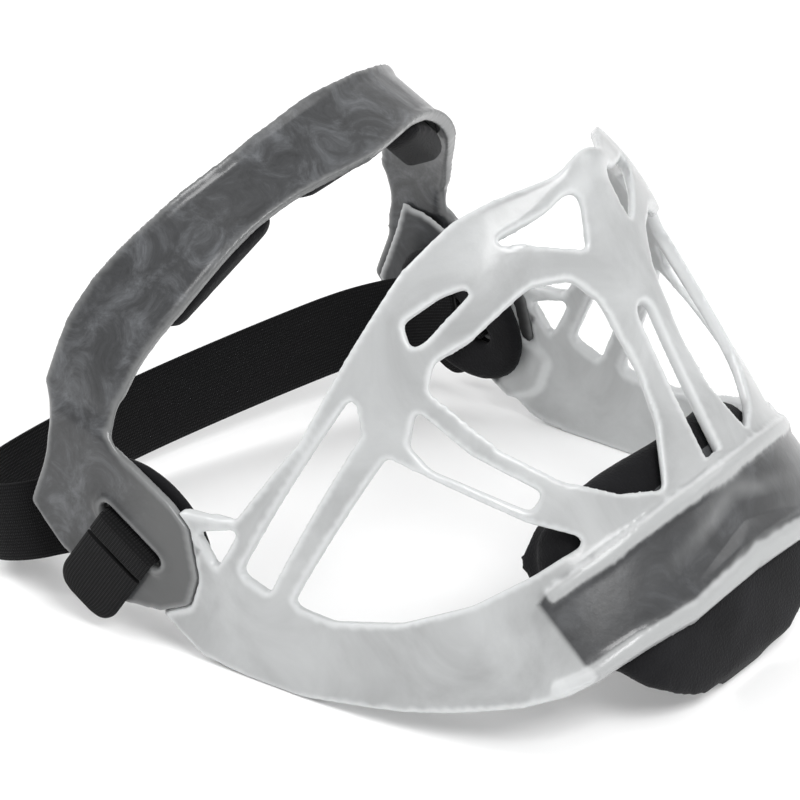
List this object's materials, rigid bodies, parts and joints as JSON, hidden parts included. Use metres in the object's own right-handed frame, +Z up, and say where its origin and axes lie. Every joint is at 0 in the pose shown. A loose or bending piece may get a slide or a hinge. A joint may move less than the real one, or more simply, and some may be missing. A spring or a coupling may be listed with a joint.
{
  "type": "softball face guard",
  "caption": "Clear plastic fielder's face guard with open cheek and nose bars, a smoke forehead band, foam pads and an elastic back strap.",
  "frame": {"origin": "middle of the bounding box's base, on the table that the guard rests on, face up on its jaw rims", "axes": "+Z up from the table, -Y towards the chin and face side, +X to the wearer's left"},
  "size_m": [0.1846, 0.2337, 0.1501],
  "materials": {
    "frame_plastic": "frosted clear moulded",
    "band_plastic": "smoke tinted, satin",
    "pad_foam": "matt closed foam",
    "chin_foam": "matt closed foam",
    "hook_patch": "hook and loop",
    "liner": "matt grey liner",
    "elastic": "woven elastic"
  },
  "bodies": {
    "guard": {"face_frame": "frame_plastic", "forehead_band": "band_plastic", "forehead_pad_centre": "pad_foam", "forehead_pad_right": "pad_foam", "forehead_pad_left": "pad_foam", "forehead_patch_centre": "hook_patch", "forehead_patch_right": "hook_patch", "forehead_patch_left": "hook_patch", "temple_pad_right": "pad_foam", "temple_pad_left": "pad_foam", "temple_patch_right": "hook_patch", "temple_patch_left": "hook_patch", "chin_pad": "chin_foam", "chin_patch": "liner", "strap_loop_right": "elastic", "strap_loop_left": "elastic"},
    "strap": {"strap_back": "elastic"},
    "tab_right": {"strap_tab_right": "elastic"},
    "tab_left": {"strap_tab_left": "elastic"}
  },
  "joints": [
    {"name": "strap_swing", "type": "hinge", "parent": "guard", "child": "strap", "pos_m": [0, 0.04643, 0.03431], "axis": [1, 0, 0], "range_deg": [-49, 30]},
    {"name": "tab_peel_right", "type": "hinge", "parent": "guard", "child": "tab_right", "pos_m": [-0.0913, 0.05149, 0.02651], "axis": [0, 0.8387, 0.5446], "range_deg": [0, 115]},
    {"name": "tab_peel_left", "type": "hinge", "parent": "guard", "child": "tab_left", "pos_m": [0.0913, 0.05149, 0.02651], "axis": [0, -0.8387, -0.5446], "range_deg": [0, 115]}
  ]
}
